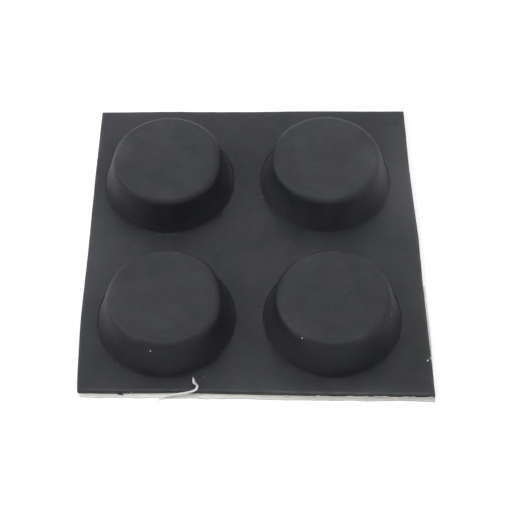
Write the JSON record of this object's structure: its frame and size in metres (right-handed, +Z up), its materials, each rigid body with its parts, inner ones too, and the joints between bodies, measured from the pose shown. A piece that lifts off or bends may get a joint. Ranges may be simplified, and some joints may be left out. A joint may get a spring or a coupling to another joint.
{
  "type": "rubber foot sheet",
  "caption": "Square sheet of tapered self-adhesive rubber feet, ring-cut in a thin rubber web on a paper release liner.",
  "frame": {"origin": "centre of the four feet, on the underside of the release liner", "axes": "+Z up out of the feet's top faces, +X to the right and +Y to the rear of the sheet"},
  "size_m": [0.0533, 0.0554, 0.0071],
  "materials": {
    "foot_rubber": "moulded, fine matte",
    "web_rubber": "moulded, fine matte",
    "adhesive": "tacky acrylic, slightly yellow",
    "liner_paper": "coated paper, satin"
  },
  "bodies": {
    "root": {"foot_rear_left": "foot_rubber", "foot_rear_right": "foot_rubber", "foot_front_left": "foot_rubber", "foot_front_right": "foot_rubber", "web_sheet": "web_rubber", "adhesive_rear_left": "adhesive", "adhesive_rear_right": "adhesive", "adhesive_front_left": "adhesive", "adhesive_front_right": "adhesive", "web_adhesive": "adhesive", "release_liner": "liner_paper", "edge_sliver": "liner_paper"}
  },
  "joints": []
}
